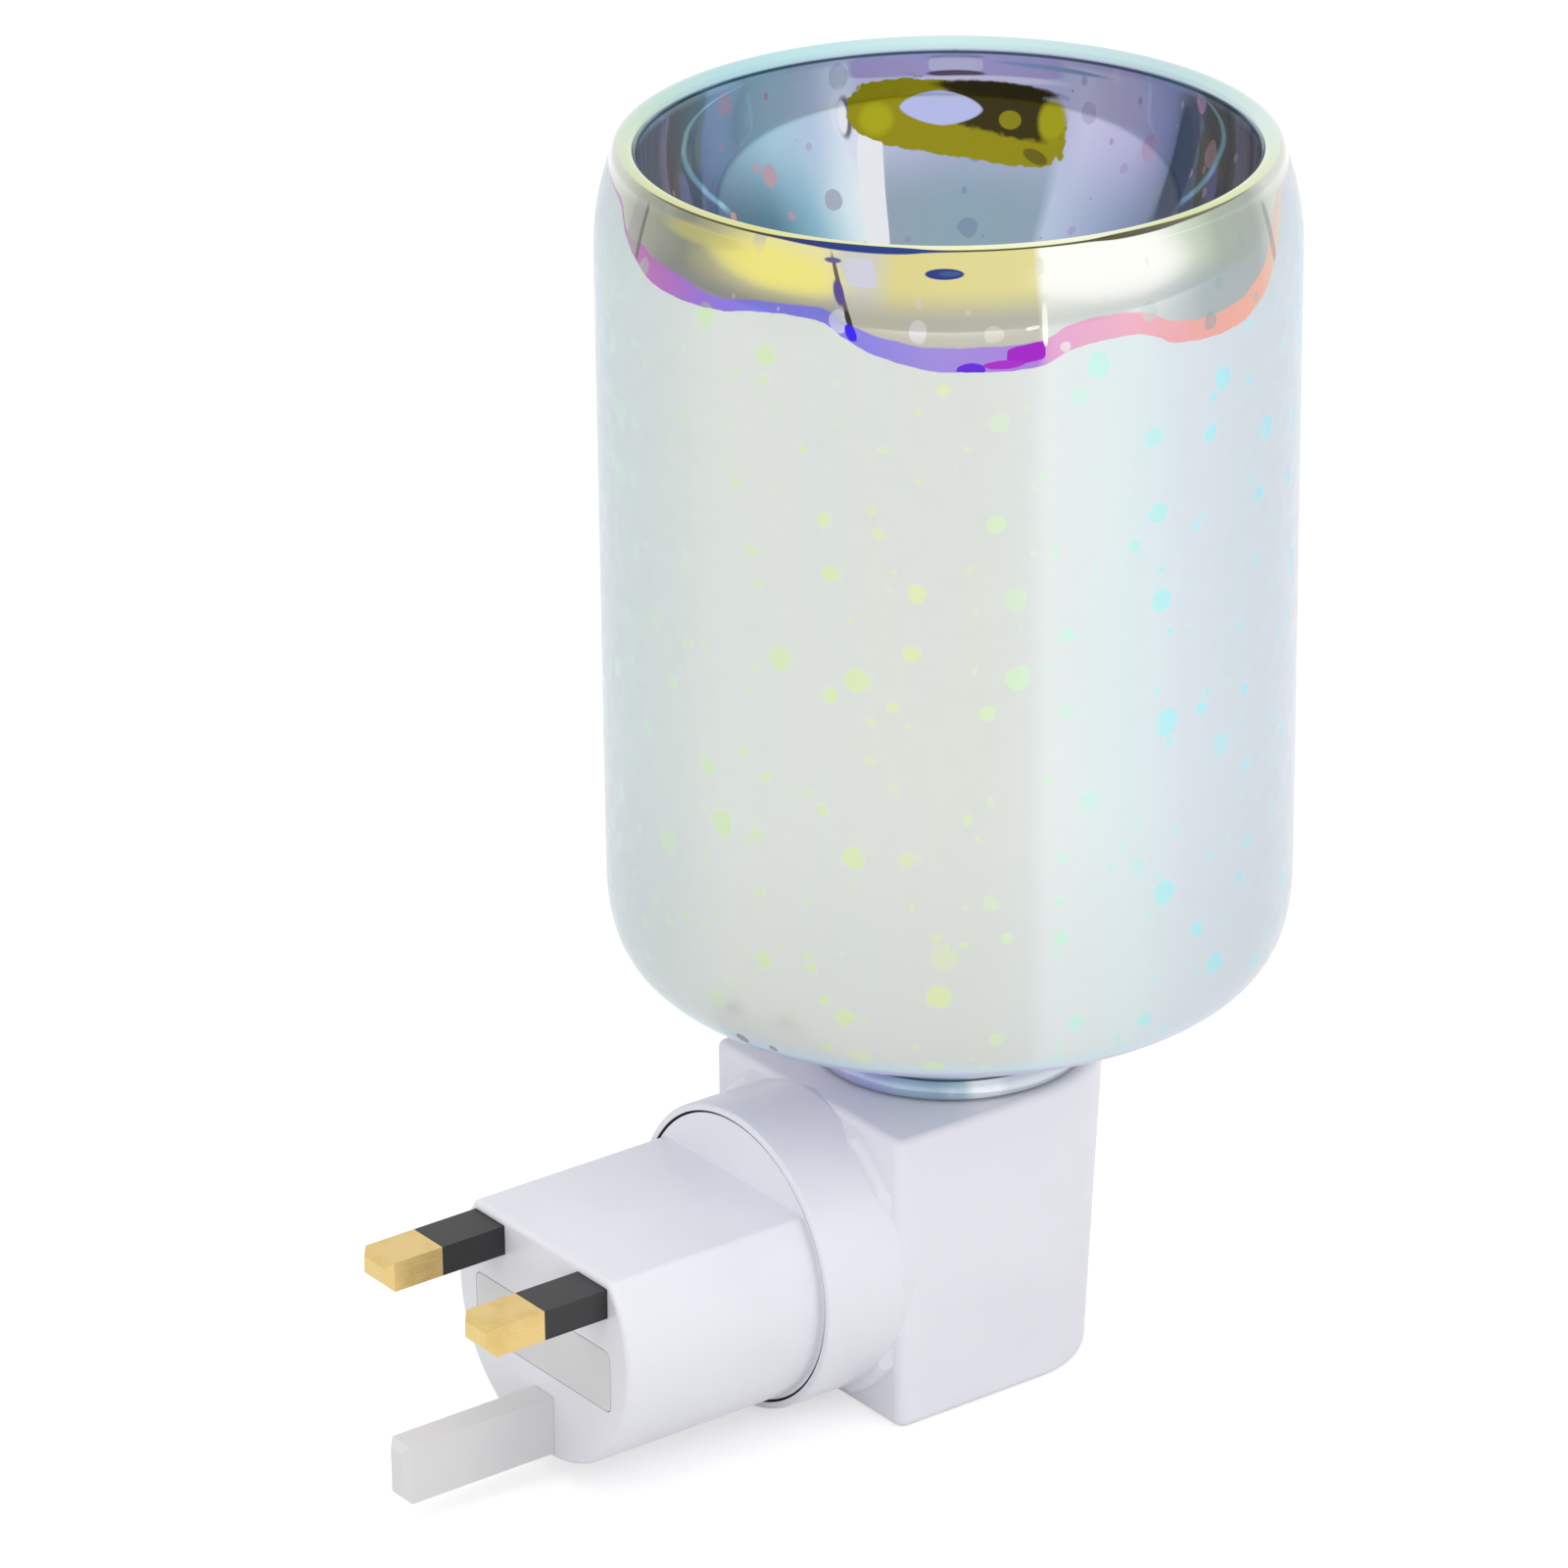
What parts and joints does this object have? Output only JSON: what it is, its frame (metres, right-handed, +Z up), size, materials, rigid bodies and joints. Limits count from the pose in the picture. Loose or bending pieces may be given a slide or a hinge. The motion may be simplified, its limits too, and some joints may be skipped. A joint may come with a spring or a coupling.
{
  "type": "plug-in wax melt warmer",
  "caption": "Plug-in wax melt warmer: a tall round glass shade with a wax bowl in its top, over a switched lamp housing on a plug that swivels.",
  "frame": {"origin": "middle of the plug's pin face, on the swivel axis", "axes": "+Y into the wall along the pins and the swivel axis, +Z up along the shade"},
  "size_m": [0.088, 0.1318, 0.1642],
  "materials": {
    "plated_glass": "thin mirror-like plating with a pearly shift of colour",
    "lamp_quartz": "clear quartz",
    "white_moulding": "satin moulded white",
    "pale_moulding": "plain moulded",
    "sleeve_moulding": "black insulating sleeve",
    "holder_ceramic": "unglazed ceramic",
    "pin_brass": "bright brass",
    "contact_brass": "rolled brass",
    "screw_steel": "plated steel",
    "fuse_ceramic": "ceramic",
    "line_insulation": "brown insulation",
    "neutral_insulation": "blue insulation",
    "tungsten": "coiled tungsten"
  },
  "bodies": {
    "housing": {"housing_shell": "white_moulding", "bottom_cover": "white_moulding", "cover_screws": "screw_steel", "lamp_holder": "holder_ceramic", "holder_contacts": "contact_brass", "holder_screws": "screw_steel", "contact_carrier": "pale_moulding", "line_finger": "contact_brass", "neutral_finger": "contact_brass", "switch_frame": "white_moulding", "switch_terminals": "contact_brass", "line_wire": "line_insulation", "switched_wire": "line_insulation", "neutral_wire": "neutral_insulation"},
    "plug": {"plug_shell": "white_moulding", "swivel_base": "white_moulding", "retaining_clip": "screw_steel", "ring_carrier": "pale_moulding", "line_ring": "contact_brass", "neutral_ring": "contact_brass", "line_pin": "pin_brass", "neutral_pin": "pin_brass", "pin_sleeves": "sleeve_moulding", "earth_pin": "pale_moulding", "line_clip": "contact_brass", "fused_clip": "contact_brass", "line_lead": "line_insulation", "neutral_lead": "neutral_insulation"},
    "fuse_drawer": {"fuse_carrier": "pale_moulding", "fuse_barrel": "fuse_ceramic", "fuse_caps": "screw_steel"},
    "rocker": {"switch_rocker": "white_moulding"},
    "shade": {"glass_shade": "plated_glass"},
    "lamp": {"bulb_envelope": "lamp_quartz", "bulb_pins": "tungsten", "bulb_filament": "tungsten"}
  },
  "joints": [
    {"name": "plug_swivel", "type": "hinge", "parent": "housing", "child": "plug", "pos_m": [0, -0.0299, 0], "axis": [0, 1, 0], "range_deg": [0, 180]},
    {"name": "fuse_pull", "type": "slide", "parent": "plug", "child": "fuse_drawer", "axis": [0, 1, 0], "range_m": [0, 0.012]},
    {"name": "switch_rock", "type": "hinge", "parent": "housing", "child": "rocker", "pos_m": [0, -0.08114, 0.00069], "axis": [1, 0, 0], "range_deg": [0, 14]},
    {"name": "shade_lift", "type": "slide", "parent": "housing", "child": "shade", "axis": [0, 0, 1], "range_m": [0, 0.06]},
    {"name": "lamp_pull", "type": "slide", "parent": "housing", "child": "lamp", "axis": [0, 0, 1], "range_m": [0, 0.012]}
  ]
}
